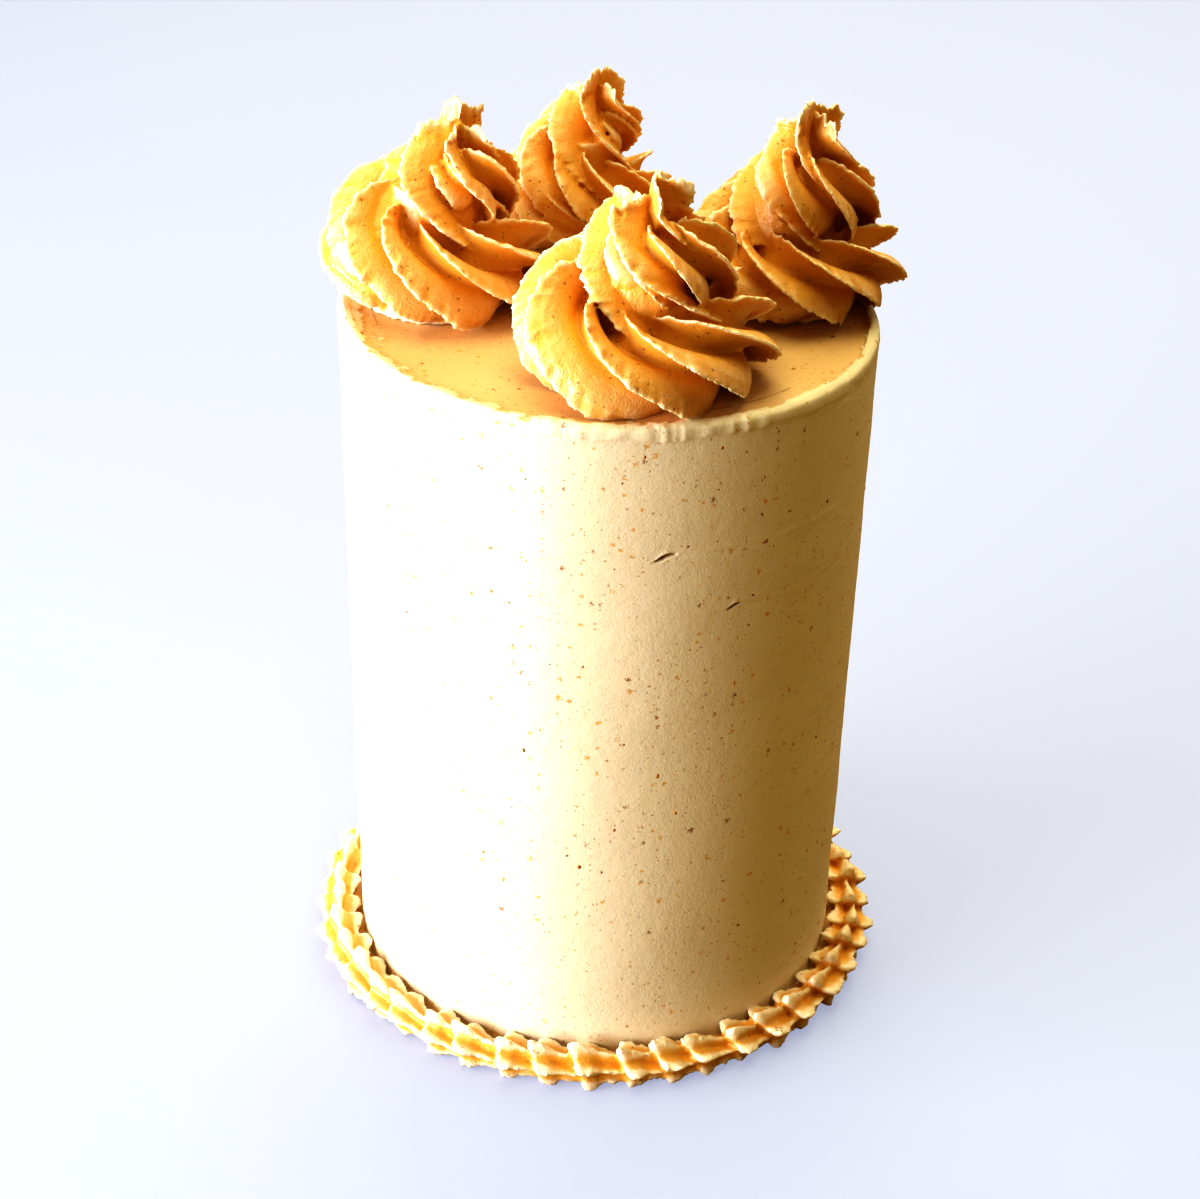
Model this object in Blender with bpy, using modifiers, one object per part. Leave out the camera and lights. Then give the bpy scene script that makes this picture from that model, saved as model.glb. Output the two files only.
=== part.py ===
"""A tall round iced cake with four star-piped swirls on its top and a piped shell border at its foot.

Lengths are metres, +Z is up, and the origin is the centre of the cake's underside.
"""
import math

import bmesh
import bpy
import numpy as np

# Iced body: a four inch cake, slightly wider at the top, whose top leans down towards +X.
CAKE_HEIGHT = 0.1535
FOOT_RADIUS = 0.0531
TOP_RADIUS = 0.0548
TOP_SLOPE_X = -0.045
FOOT_ROUND = 0.0012
LIP_WIDTH = 0.0024
LIP_HEIGHT = 0.0011
LIP_SIDE = math.radians(-20)
SIDE_WAVE = 0.00035
BODY_STEPS = 72
REST_GAP = 0.0003
SLIVER = 0.00001
SOLVER = "EXACT"

# Swirls: a rope of icing from a five-tooth open star nozzle, wound clockwise and upwards.
NOZZLE_TEETH = 5
VALLEY_DEPTH = 0.46
VALLEY_POINTS = (0.30, 0.70)
RIDGE_TURNS_PER_LOOP = 1.80
SECTIONS_PER_TURN = 18
SWIRL_TURNS = 2.0
ROPE_PIECES = 3
TUCK = (0.72, 0.94)
AXIS_CLEARANCE = 0.60
# Along the rope, from its start under the swirl (0) to where it runs into the peak (1).
ROPE_STAGE = (0.0, 0.07, 0.16, 0.43, 0.68, 0.90, 1.0)
LOOP_RADIUS = (0.50, 0.88, 1.00, 1.00, 0.66, 0.42, 0.25)
ROPE_HEIGHT = (0.19, 0.19, 0.19, 0.21, 0.47, 0.64, 0.68)
ROPE_WIDTH = (0.60, 0.92, 1.00, 1.00, 0.95, 0.78, 0.40)
ROPE_RADIUS = 0.41
# Up the peak, where the nozzle is pulled away: shares of the swirl's height and width.
PEAK_LOW = 0.34
PEAK_HIGH = 0.86
PEAK_RINGS = 8
PEAK_STAGE = (0.0, 0.45, 0.75, 1.0)
PEAK_REACH = (0.30, 0.27, 0.20, 0.125)
PEAK_TWIST = math.radians(-125)
STRAND_LENGTH = 0.13

# The cone that fills the middle of a swirl: shares of its width and height.
CORE_LOW = 0.30
CORE_HIGH = 0.16
CORE_DEPTH = 0.60
CORE_SINK = 0.001
CORE_SIDES = 14

# Each swirl: where it stands, its width and height, the bearing of the rope's start and the lean of its tip.
SWIRLS = {
    "swirl_front": dict(at=(0.0068, -0.0292), width=0.0550, height=0.0390, start=205, lean=(0.001, 0.001), seed=11),
    "swirl_left": dict(at=(-0.0352, 0.0006), width=0.0500, height=0.0400, start=250, lean=(0.006, 0.001), seed=5),
    "swirl_right": dict(at=(0.0370, 0.0115), width=0.0470, height=0.0430, start=160, lean=(0.003, -0.002), seed=23),
    "swirl_back": dict(at=(-0.0058, 0.0372), width=0.0410, height=0.0370, start=300, lean=(0.003, 0.000), seed=31),
}

# Border: one bead of icing piped anticlockwise as shells, each head rising over the tail before it.
SHELL_COUNT = 43
BORDER_OUTER_RADIUS = 0.0645
BORDER_HEIGHT = 0.0100
# Ridges of the bead, as angles from straight out towards up, with a valley between each two.
BEAD_RIDGES = (-28, 30, 90, 150)
BEAD_CENTRE_HEIGHT = 0.42
BEAD_SQUEEZE = 1.12
# Along one shell, from its head (0) to its tail: the reach of ridges and valleys, and the lean of the crest.
SHELL_STAGE = (0.0, 0.20, 0.46, 0.70, 0.90)
SHELL_RIDGE = (0.94, 1.00, 0.88, 0.70, 0.52)
SHELL_VALLEY = (0.86, 0.74, 0.52, 0.40, 0.36)
SHELL_LEAN = (0.34, 0.22, 0.10, 0.0, 0.0)
SHELL_UNEVEN = 0.06

ICING_PALE = (0.83, 0.72, 0.50, 1.0)
ICING_TAN = (0.78, 0.40, 0.09, 1.0)


def clear_scene():
    for item in list(bpy.data.objects):
        bpy.data.objects.remove(item, do_unlink=True)


def new_collection(name):
    group = bpy.data.collections.new(name)
    bpy.context.scene.collection.children.link(group)
    return group


def icing(name, colour, roughness):
    material = bpy.data.materials.new(name)
    material.use_nodes = True
    shader = material.node_tree.nodes["Principled BSDF"]
    shader.inputs["Base Color"].default_value = colour
    shader.inputs["Roughness"].default_value = roughness
    shader.inputs["Metallic"].default_value = 0.0
    return material


def mesh_object(name, mesh, group):
    item = bpy.data.objects.new(name, mesh)
    group.objects.link(item)
    return item


def apply_modifiers(item):
    """Swap the object's mesh for its evaluated one and drop the modifiers."""
    graph = bpy.context.evaluated_depsgraph_get()
    mesh = bpy.data.meshes.new_from_object(item.evaluated_get(graph))
    item.modifiers.clear()
    item.data = mesh


def loft(name, sections, group):
    """A closed body through a row of rings with equal counts of points, capped by a fan at both ends."""
    ring_count, point_count, _ = sections.shape
    body = bmesh.new()
    rings = [[body.verts.new(point) for point in ring] for ring in sections]
    for lower, upper in zip(rings[:-1], rings[1:]):
        for here in range(point_count):
            there = (here + 1) % point_count
            body.faces.new((lower[here], lower[there], upper[there], upper[here]))
    for ring, flip in ((rings[0], True), (rings[-1], False)):
        middle = body.verts.new(np.mean([tuple(vert.co) for vert in ring], axis=0))
        for here in range(point_count):
            corners = [ring[here], ring[(here + 1) % point_count], middle]
            body.faces.new(corners[::-1] if flip else corners)
    bmesh.ops.recalc_face_normals(body, faces=body.faces)
    bmesh.ops.triangulate(body, faces=body.faces)
    mesh = bpy.data.meshes.new(name)
    body.to_mesh(mesh)
    body.free()
    return mesh_object(name, mesh, group)


def top_level(x):
    """Height of the flat of the cake's top, which leans along X."""
    return CAKE_HEIGHT + TOP_SLOPE_X * x


def body_profile(gap):
    """Outer side from the lip down to the foot, then the underside, as radius and height."""
    lip_top = CAKE_HEIGHT + LIP_HEIGHT + gap
    return [
        (0.0, CAKE_HEIGHT + gap),
        (TOP_RADIUS - 2.2 * LIP_WIDTH, CAKE_HEIGHT + gap),
        (TOP_RADIUS - LIP_WIDTH, CAKE_HEIGHT + gap),
        (TOP_RADIUS - 0.62 * LIP_WIDTH, lip_top),
        (TOP_RADIUS - 0.22 * LIP_WIDTH + gap, lip_top),
        (TOP_RADIUS + gap, lip_top - 0.3 * LIP_WIDTH),
        (FOOT_RADIUS + gap, FOOT_ROUND - gap),
        (FOOT_RADIUS - 0.5 * FOOT_ROUND + gap, -gap),
        (0.0, -gap),
    ]


def cake_body(name, gap, group):
    """The iced body turned about Z, then leaned at the top; a gap swells it into a cutter."""
    mesh = bpy.data.meshes.new(name)
    points = [(radius, 0.0, height) for radius, height in body_profile(gap)]
    mesh.from_pydata(points, [(here, here + 1) for here in range(len(points) - 1)], [])
    body = mesh_object(name, mesh, group)
    turn = body.modifiers.new("turned", "SCREW")
    turn.angle = math.tau
    turn.steps = BODY_STEPS
    turn.render_steps = BODY_STEPS
    turn.use_merge_vertices = True
    turn.merge_threshold = 0.00001
    apply_modifiers(body)
    for vert in body.data.vertices:
        bearing = math.atan2(vert.co.y, vert.co.x)
        share = max(0.0, min(1.0, vert.co.z / CAKE_HEIGHT))
        radius = math.hypot(vert.co.x, vert.co.y)
        wave = SIDE_WAVE * math.sin(3 * bearing + 1.3) * share if radius > FOOT_RADIUS else 0.0
        lip = max(0.0, vert.co.z - CAKE_HEIGHT - gap)
        lip_share = 0.55 + 0.45 * math.cos(bearing - LIP_SIDE)
        vert.co.x += wave * math.cos(bearing)
        vert.co.y += wave * math.sin(bearing)
        vert.co.z += TOP_SLOPE_X * vert.co.x * share - lip * (1.0 - lip_share)
    return body


def star_ring(ridge_angle, reach, valley, valley_points, tooth_reach):
    """Angles and distances of one star section: each ridge, then the points of the valley after it."""
    pitch = math.tau / NOZZLE_TEETH
    angles = []
    distances = []
    for tooth in range(NOZZLE_TEETH):
        ridge = ridge_angle + tooth * pitch
        angles.append(ridge)
        distances.append(reach * tooth_reach[tooth])
        for share in valley_points:
            angles.append(ridge + share * pitch)
            distances.append(reach * valley)
    return np.array(angles), np.array(distances)


def frames_along(centres, bearings):
    """Outward and upward directions square to a path that winds about an upright axis."""
    ahead = np.gradient(centres, axis=0)
    ahead /= np.linalg.norm(ahead, axis=1)[:, None]
    outward = np.stack([np.cos(bearings), np.sin(bearings), np.zeros_like(bearings)], axis=1)
    outward -= (outward * ahead).sum(axis=1)[:, None] * ahead
    outward /= np.linalg.norm(outward, axis=1)[:, None]
    upward = np.cross(outward, ahead)
    upward *= np.sign(upward[:, 2].mean())
    return ahead, outward, upward


def tooth_sizes(seed):
    """How far each ridge of one swirl reaches, and how tall its torn strand stands."""
    draw = np.random.default_rng(seed)
    reach = 1.0 + draw.uniform(-0.10, 0.08, NOZZLE_TEETH)
    strand = draw.uniform(0.30, 0.85, NOZZLE_TEETH)
    strand[int(draw.integers(NOZZLE_TEETH))] = 1.0
    return reach, strand


def rope_sections(at, width, height, start, lean, seed):
    """Star sections along the rope of one swirl, its inner ridges held back from the axis."""
    tooth_reach, _ = tooth_sizes(seed)
    count = int(SWIRL_TURNS * SECTIONS_PER_TURN) + 1
    stage = np.linspace(0.0, 1.0, count)
    bearings = math.radians(start) - math.tau * SWIRL_TURNS * stage
    rope = 0.5 * width * ROPE_RADIUS
    loop = (0.5 * width - rope) * np.interp(stage, ROPE_STAGE, LOOP_RADIUS)
    rise = height * np.interp(stage, ROPE_STAGE, ROPE_HEIGHT)
    reach = rope * np.interp(stage, ROPE_STAGE, ROPE_WIDTH)
    bend = (rise / height) ** 2
    centres = np.stack([
        at[0] + loop * np.cos(bearings) + lean[0] * bend,
        at[1] + loop * np.sin(bearings) + lean[1] * bend,
        top_level(at[0]) + rise,
    ], axis=1)
    ahead, outward, upward = frames_along(centres, bearings)
    rings = []
    for step in range(count):
        ridge = -RIDGE_TURNS_PER_LOOP * bearings[step]
        angles, distances = star_ring(ridge, reach[step], VALLEY_DEPTH, VALLEY_POINTS, tooth_reach)
        level = math.hypot(ahead[step, 0], ahead[step, 1])
        inner_limit = AXIS_CLEARANCE * loop[step] / (level * level)
        across = np.maximum(distances * np.cos(angles), -inner_limit)
        along = distances * np.sin(angles)
        rings.append(centres[step] + across[:, None] * outward[step] + along[:, None] * upward[step])
    return np.array(rings)


def peak_sections(at, width, height, start, lean, seed):
    """Level star sections up the twisted peak, with a strand torn upwards at each ridge."""
    tooth_reach, strand = tooth_sizes(seed)
    rings = []
    for share in np.linspace(0.0, 1.0, PEAK_RINGS):
        rise = PEAK_LOW + share * (PEAK_HIGH - PEAK_LOW)
        reach = width * np.interp(share, PEAK_STAGE, PEAK_REACH)
        ridge = math.radians(start) + PEAK_TWIST * share
        angles, distances = star_ring(ridge, reach, VALLEY_DEPTH, VALLEY_POINTS, tooth_reach)
        ring = np.empty((len(angles), 3))
        ring[:, 0] = at[0] + lean[0] * rise ** 2 + distances * np.cos(angles)
        ring[:, 1] = at[1] + lean[1] * rise ** 2 + distances * np.sin(angles)
        ring[:, 2] = top_level(at[0]) + rise * height
        rings.append(ring)
    ridges = slice(0, None, 1 + len(VALLEY_POINTS))
    rings[-1][ridges, 2] += STRAND_LENGTH * height * strand
    return np.array(rings)


def tuck(rope):
    """Draw in the first two rings, so that a piece of rope starts inside the piece before it."""
    for ring, share in enumerate(TUCK):
        middle = rope[ring].mean(axis=0)
        rope[ring] = middle + share * (rope[ring] - middle)


def swirl_core(name, settings, parts):
    """A blunt cone that fills the middle of the rope's loops."""
    body = bmesh.new()
    depth = CORE_DEPTH * settings["height"]
    bmesh.ops.create_cone(
        body, cap_ends=True, cap_tris=True, segments=CORE_SIDES,
        radius1=CORE_LOW * settings["width"], radius2=CORE_HIGH * settings["width"], depth=depth)
    middle = top_level(settings["at"][0]) + 0.5 * depth - CORE_SINK
    bmesh.ops.translate(body, verts=body.verts, vec=(*settings["at"], middle))
    mesh = bpy.data.meshes.new(name)
    body.to_mesh(mesh)
    body.free()
    return mesh_object(name, mesh, parts)


def swirl(name, settings, cutter, parts):
    """A core, pieces of rope and a peak joined by one union, then cut to sit on the cake's top."""
    sections = rope_sections(**settings)
    pieces = new_collection(name + "_pieces")
    ends = np.linspace(0, len(sections) - 1, ROPE_PIECES + 1).astype(int)
    for number in range(ROPE_PIECES):
        rope = sections[max(0, ends[number] - 1):ends[number + 1] + 1].copy()
        if number > 0:
            tuck(rope)
        loft(f"{name}_rope_{number}", rope, pieces)
    loft(f"{name}_peak", peak_sections(**settings), pieces)
    core = swirl_core(name, settings, parts)
    join(core, pieces)
    cut(core, cutter)
    keep_outer_skin(core)
    return core


def join(item, pieces):
    """One union of an object with a collection, applied, with the pieces then removed."""
    union = item.modifiers.new("fused", "BOOLEAN")
    union.operation = "UNION"
    union.operand_type = "COLLECTION"
    union.collection = pieces
    union.solver = SOLVER
    apply_modifiers(item)
    keep_outer_skin(item)
    for piece in list(pieces.objects):
        bpy.data.objects.remove(piece, do_unlink=True)
    bpy.data.collections.remove(pieces)


def keep_outer_skin(item):
    """Keep the widest connected skin, so that a sealed hollow is filled and a loose scrap is dropped."""
    body = bmesh.new()
    body.from_mesh(item.data)
    bmesh.ops.triangulate(body, faces=body.faces)
    bmesh.ops.dissolve_degenerate(body, dist=SLIVER, edges=body.edges)
    bmesh.ops.triangulate(body, faces=body.faces)
    waiting = set(body.verts)
    skins = []
    while waiting:
        skin = set()
        front = [waiting.pop()]
        while front:
            vert = front.pop()
            skin.add(vert)
            for edge in vert.link_edges:
                other = edge.other_vert(vert)
                if other in waiting:
                    waiting.remove(other)
                    front.append(other)
        skins.append(skin)
    widest = max(skins, key=lambda skin: max(vert.co.x for vert in skin) - min(vert.co.x for vert in skin))
    spare = [vert for vert in body.verts if vert not in widest]
    bmesh.ops.delete(body, geom=spare, context="VERTS")
    body.to_mesh(item.data)
    body.free()


def cut(item, cutter):
    trim = item.modifiers.new("trimmed", "BOOLEAN")
    trim.operation = "DIFFERENCE"
    trim.object = cutter
    trim.solver = SOLVER
    apply_modifiers(item)


def bead_ring(ridge_reach, valley_reach):
    """Angle and reach of the bead's ridges and valleys, from its outer foot round to its inner one."""
    points = []
    for number, angle in enumerate(BEAD_RIDGES):
        points.append((math.radians(angle), ridge_reach))
        if number + 1 < len(BEAD_RIDGES):
            points.append((math.radians(0.5 * (angle + BEAD_RIDGES[number + 1])), valley_reach))
    return points


def border_sections():
    """Sections of the bead all the way round, flat on the floor and clear of the cake's side."""
    draw = np.random.default_rng(7)
    half_height = BORDER_HEIGHT / (1.0 + BEAD_CENTRE_HEIGHT / (1.0 - BEAD_CENTRE_HEIGHT))
    inner = FOOT_RADIUS + REST_GAP + SIDE_WAVE
    middle = inner + 0.46 * (BORDER_OUTER_RADIUS - inner)
    half_width = (BORDER_OUTER_RADIUS - middle) / math.cos(math.radians(BEAD_RIDGES[1]))
    pitch = math.tau / SHELL_COUNT
    rings = []
    for number in range(SHELL_COUNT):
        size = 1.0 + draw.uniform(-SHELL_UNEVEN, 0.0)
        for stage, ridge, valley, lean in zip(SHELL_STAGE, SHELL_RIDGE, SHELL_VALLEY, SHELL_LEAN):
            ring = []
            outer_foot = middle + half_width * BEAD_SQUEEZE * size * ridge * 0.80
            ring.append((outer_foot, 0.0, 0.0))
            for angle, reach in bead_ring(ridge * size, valley * size):
                radius = max(inner, middle + half_width * reach * math.cos(angle))
                level = BEAD_CENTRE_HEIGHT * BORDER_HEIGHT + half_height * reach * math.sin(angle)
                ring.append((radius, max(0.0006, level), lean))
            ring.append((inner, 0.0, 0.0))
            here = []
            for radius, level, shift in ring:
                bearing = pitch * (number + stage) - shift * level / radius
                here.append((radius * math.cos(bearing), radius * math.sin(bearing), level))
            rings.append(here)
    return np.array(rings)


def border(name, parts):
    """The bead as one closed ring through all its sections."""
    sections = border_sections()
    ring_count, point_count, _ = sections.shape
    body = bmesh.new()
    rings = [[body.verts.new(point) for point in ring] for ring in sections]
    for number, lower in enumerate(rings):
        upper = rings[(number + 1) % ring_count]
        for here in range(point_count):
            there = (here + 1) % point_count
            body.faces.new((lower[here], lower[there], upper[there], upper[here]))
    bmesh.ops.recalc_face_normals(body, faces=body.faces)
    bmesh.ops.triangulate(body, faces=body.faces)
    mesh = bpy.data.meshes.new(name)
    body.to_mesh(mesh)
    body.free()
    return mesh_object(name, mesh, parts)


def build():
    clear_scene()
    parts = new_collection("chocolate_peanut_butter_cake")
    tools = new_collection("cutters")
    pale = icing("pale_icing", ICING_PALE, 0.55)
    tan = icing("tan_icing", ICING_TAN, 0.45)
    cake = cake_body("cake", 0.0, parts)
    cake.data.materials.append(pale)
    cutter = cake_body("cake_cutter", REST_GAP, tools)
    piped = [swirl(name, settings, cutter, parts) for name, settings in SWIRLS.items()]
    piped.append(border("border", parts))
    for item in piped:
        item.data.materials.clear()
        item.data.materials.append(tan)
    cutter.hide_render = True
    cutter.display_type = "WIRE"
    for item in [cake] + piped:
        item.data.shade_smooth()
        item.data.set_sharp_from_angle(angle=math.radians(40))
        print(item.name, sum(len(face.vertices) - 2 for face in item.data.polygons), "triangles")


build()
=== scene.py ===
"""The looks of a tall iced cake: pale buttercream with peanut specks, torn piped swirls and a shell border.

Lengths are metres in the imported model's own frame, +Z up, with the origin under the middle of the cake.
"""
import math

import bmesh
import bpy
import numpy as np
from mathutils import Matrix, Vector, noise


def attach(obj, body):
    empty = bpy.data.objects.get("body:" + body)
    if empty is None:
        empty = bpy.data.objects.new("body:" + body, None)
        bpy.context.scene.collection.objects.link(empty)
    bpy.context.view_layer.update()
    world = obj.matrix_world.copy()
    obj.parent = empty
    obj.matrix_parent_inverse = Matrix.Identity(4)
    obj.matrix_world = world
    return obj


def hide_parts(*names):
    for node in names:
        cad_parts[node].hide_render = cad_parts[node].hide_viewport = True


bl_info = {
    "name": "Piped Cake Dresser",
    "version": (1, 0, 0),
    "blender": (4, 5, 0),
    "location": "View3D > Sidebar > Cake",
    "description": "Dresses a packed layer cake with buttercream, piped swirls and a shell border",
    "category": "Add Mesh",
}

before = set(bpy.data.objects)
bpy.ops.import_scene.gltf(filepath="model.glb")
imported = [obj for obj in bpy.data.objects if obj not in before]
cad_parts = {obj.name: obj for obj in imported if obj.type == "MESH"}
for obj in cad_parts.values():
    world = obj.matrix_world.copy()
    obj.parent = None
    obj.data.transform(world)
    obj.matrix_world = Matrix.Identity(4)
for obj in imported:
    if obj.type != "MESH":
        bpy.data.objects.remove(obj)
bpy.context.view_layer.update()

MM = 0.001

# Iced body: the solid's own sizes, with a slightly higher lip.
CAKE_HEIGHT = 0.1535
FOOT_RADIUS = 0.0531
TOP_RADIUS = 0.0548
TOP_SLOPE_X = -0.045
LIP_WIDTH = 0.0024
LIP_HEIGHT = 0.0012
LIP_SIDE = math.radians(-20)
SIDE_WAVE = 0.00035

# Where the coat's rounded foot ends and where its rim begins.
FOOT_TOP = 0.0009
SIDE_TOP = CAKE_HEIGHT - 0.0016

# How far the side's coat creeps in over the top, most on its torn side, and the mesh's step there.
TORN_SIDE = math.radians(-135)
CREEP_LEAST = 0.0019
CREEP_BROAD = 0.0045
CREEP_RAGGED = 0.0034
CREEP_FINE = 0.0014
SMEAR_STEP = 0.00026

# The pale band that stands out under the rim at the front.
BROW_SIDE = math.radians(-85)
BROW_HEIGHT = 0.0023
BROW_UNEVEN = 0.0009

# Rope of icing from a five-tooth open star nozzle, in shares of a swirl's width and height.
NOZZLE_TEETH = 5
RIDGE_TURNS_PER_LOOP = 1.80
SWIRL_TURNS = 2.0
ROPE_STAGE = (0.0, 0.07, 0.16, 0.43, 0.68, 0.90, 1.0)
LOOP_RADIUS = (0.50, 0.88, 1.00, 1.00, 0.66, 0.42, 0.25)
ROPE_HEIGHT = (0.19, 0.19, 0.19, 0.21, 0.47, 0.64, 0.68)
ROPE_WIDTH = (0.60, 0.92, 1.00, 1.00, 0.95, 0.78, 0.40)
ROPE_RADIUS = 0.41
AXIS_CLEARANCE = 0.75

# How far the icing sinks into the top, and the share of what is pressed flat that it spreads outwards.
SUNK = 0.2 * MM
SPREAD = 0.30

# The twisted peak, and the torn strands above it.
PEAK_LOW = 0.34
PEAK_HIGH = 0.86
PEAK_STAGE = (0.0, 0.45, 0.75, 1.0)
PEAK_REACH = (0.30, 0.27, 0.22, 0.16)
PEAK_TWIST = math.radians(-125)
STRAND_LENGTH = 0.165
BLADE_STAGE = (0.0, 0.35, 0.80, 1.0, 1.2)
BLADE_VALLEY = (1.0, 0.92, 0.38, 0.16, 0.05)
BLUNT = 0.06

# The blunt cone in the middle of a swirl.
CORE_LOW = 0.30
CORE_HIGH = 0.16
CORE_DEPTH = 0.60

# Where each swirl stands, its width and height, its rope's first bearing in degrees, and its lean.
SWIRLS = {
    "swirl_front": dict(
        at=(0.0068, -0.0292), width=0.0550, height=0.0400, start=205, lean=(0.001, 0.001), seed=11),
    "swirl_left": dict(
        at=(-0.0352, 0.0006), width=0.0500, height=0.0400, start=250, lean=(0.006, 0.001), seed=5),
    "swirl_right": dict(
        at=(0.0370, 0.0115), width=0.0470, height=0.0430, start=160, lean=(0.003, -0.002), seed=23),
    "swirl_back": dict(
        at=(-0.0058, 0.0372), width=0.0410, height=0.0370, start=300, lean=(0.003, 0.000), seed=31),
}

# How far a point stands out of its surroundings where a thin edge has its full painted highlight.
SWIRL_EDGE = 0.0011
BORDER_EDGE = 0.0005

# A shell of the border along its length: thickness, and the valleys' distance as a share of the ridges'.
SHELL_STAGE = (0.0, 0.06, 0.14, 0.27, 0.40, 0.62, 1.0)
SHELL_THICK = (0.40, 0.86, 1.0, 0.97, 0.76, 0.66, 0.42)
SHELL_VALLEY = (0.66, 0.62, 0.56, 0.46, 0.30, 0.26, 0.30)
SHELL_TURN = 13.0
SHELL_CREST = 0.16
SHELL_LEAN = 0.85
BORDER_LOWEST = 0.02 * MM

# The border's low bed: how far outside the cake's foot its middle is, half its width, and half its height
# as a share of a shell's height.
BED_MIDDLE = 0.0034
BED_HALF_WIDTH = 0.0039
BED_HALF_HEIGHT = 0.19

# Small gashes in the side: bearing in degrees, height, half length, half width, depth and tilt in degrees.
GASHES = (
    (-76.8, 0.1259, 0.0021, 0.00042, 0.00110, 12),
    (-61.0, 0.1126, 0.0015, 0.00034, 0.00080, 6),
)

# Corners of a fleck, and the seeds of the random draws.
FLECK_SIDES = 6
FLECK_SEED = 41
BORDER_SEED = 7

# The floor: half its side, its level, the share of its colour that takes shadows, and its own brightness.
FLOOR_HALF = 3.0
FLOOR_LEVEL = -0.02 * MM
FLOOR_SHADE = 0.60
FLOOR_GLOW = 0.78

# Lights: name, the stage setting with its power, place, size and colour; all face a point up the cake's axis.
LIGHTS = (
    ("window", "key_power", (-0.82, -0.36, 0.24), (0.95, 0.42), (1.0, 0.99, 0.98)),
    ("ceiling", "top_power", (0.05, 0.10, 1.25), (1.0, 1.0), (1.0, 0.90, 0.52)),
    ("wall", "back_power", (0.15, 0.95, 0.80), (1.1, 0.8), (1.0, 0.92, 0.66)),
    ("corner", "corner_power", (1.00, 0.30, 0.50), (0.50, 0.50), (0.95, 0.97, 1.0)),
)
LIGHT_AIM = 0.11


def length_setting(name, description, default):
    return bpy.props.FloatProperty(name=name, description=description, default=default, unit="LENGTH")


def angle_setting(name, description, default):
    return bpy.props.FloatProperty(name=name, description=description, default=default, subtype="ANGLE")


def share_setting(name, description, default):
    return bpy.props.FloatProperty(name=name, description=description, default=default, subtype="FACTOR")


def power_setting(name, description, default):
    return bpy.props.FloatProperty(name=name, description=description, default=default, unit="POWER")


def number_setting(name, description, default):
    return bpy.props.FloatProperty(name=name, description=description, default=default)


def count_setting(name, description, default, least):
    return bpy.props.IntProperty(name=name, description=description, default=default, min=least)


def colour_setting(name, description, default):
    return bpy.props.FloatVectorProperty(
        name=name, description=description, default=default, subtype="COLOR", size=3)


class IcedBodySettings(bpy.types.PropertyGroup):
    """Buttercream coat of the body"""

    around: count_setting("Steps around", "Columns of the coat's mesh", 360, 32)
    rows: count_setting("Side rows", "Rows of the side's mesh", 100, 16)
    wave: length_setting("Scraper waves", "Depth of the broad waves that the scraper leaves", 0.00022)
    smear: length_setting("Smear", "Thickness of the coat where it creeps over the rim", 0.00024)
    streak: length_setting("Scraper streaks", "Depth of the fine level streaks", 0.00007)
    colour: colour_setting("Buttercream", "Colour of the coat", (0.83, 0.768, 0.635))
    # Painted shade: the flat top is painted tanner than the side, as it gets less light.
    shaded_top_colour: colour_setting("Top", "Colour of the smeared top", (0.76, 0.56, 0.34))
    # Painted shadow: a brown line where the coat ends on the top, as if its edge cast shade.
    coat_end_shadow_colour: colour_setting(
        "Brink", "Colour of the line where the coat ends on the top", (0.56, 0.34, 0.10))
    # Painted shade inside the gashes.
    gash_shade_colour: colour_setting("Gashes", "Colour inside the gashes", (0.38, 0.23, 0.07))
    speck_colour: colour_setting("Peanut skin", "Colour of the dark specks", (0.30, 0.10, 0.025))
    nut_colour: colour_setting("Nut", "Colour of the light specks", (0.68, 0.38, 0.08))
    dust_colour: colour_setting("Nut dust", "Colour of the finest specks", (0.42, 0.20, 0.06))


class SwirlSettings(bpy.types.PropertyGroup):
    """Piped swirls"""

    rings_per_turn: count_setting("Rings per turn", "Sections along one turn of the rope", 340, 24)
    samples: count_setting("Samples per ridge", "Points from one ridge to the next", 22, 6)
    valley: share_setting("Valley", "Distance of the valleys as a share of the ridges'", 0.31)
    sharpness: number_setting("Ridge sharpness", "Higher is a thinner ridge", 2.1)
    droop: angle_setting("Ridge droop", "How far a ridge's edge hangs over", 0.42)
    tear: share_setting("Torn edge", "Unevenness of a ridge's edge as a share of the rope's radius", 0.085)
    crumbs: length_setting("Crumbs", "How far thin edges crumble", 0.00045)
    fray: length_setting("Frayed top", "How far the upright blades' tops are torn", 0.0016)
    voxel: length_setting("Voxel", "Grain of the fused icing", 0.00036)
    kept: share_setting("Kept triangles", "Share of a fused swirl's triangles that stay", 0.62)
    colour: colour_setting("Peanut icing", "Colour of the piped icing", (0.78, 0.43, 0.08))
    # Painted highlight: thin edges and ridges are painted paler, as if lit and glossy.
    edge_highlight_colour: colour_setting("Thin edges", "Colour of thin torn edges", (0.94, 0.82, 0.68))
    # Painted shade: the valleys between ridges are painted deeper and warmer, as if in shadow.
    valley_shade_colour: colour_setting("Valleys", "Colour in the valleys", (0.76, 0.37, 0.04))


class BorderSettings(bpy.types.PropertyGroup):
    """Shell border"""

    shells: count_setting("Shells", "Shells in the border", 43, 6)
    outer_radius: length_setting("Outer radius", "Reach of the border", 0.0648)
    height: length_setting("Height", "Height of a shell's crest", 0.0100)
    length: number_setting("Overlap", "Length of a shell in pitches", 1.45)
    crumbs: length_setting("Crumbs", "How far thin edges crumble", 0.0003)
    rings: count_setting("Rings", "Sections along one shell", 30, 6)
    samples: count_setting("Samples", "Points from ridge to ridge", 9, 4)
    voxel: length_setting("Voxel", "Grain of the fused border", 0.00036)
    kept: share_setting("Kept triangles", "Share of the fused border's triangles that stay", 0.56)


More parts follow.
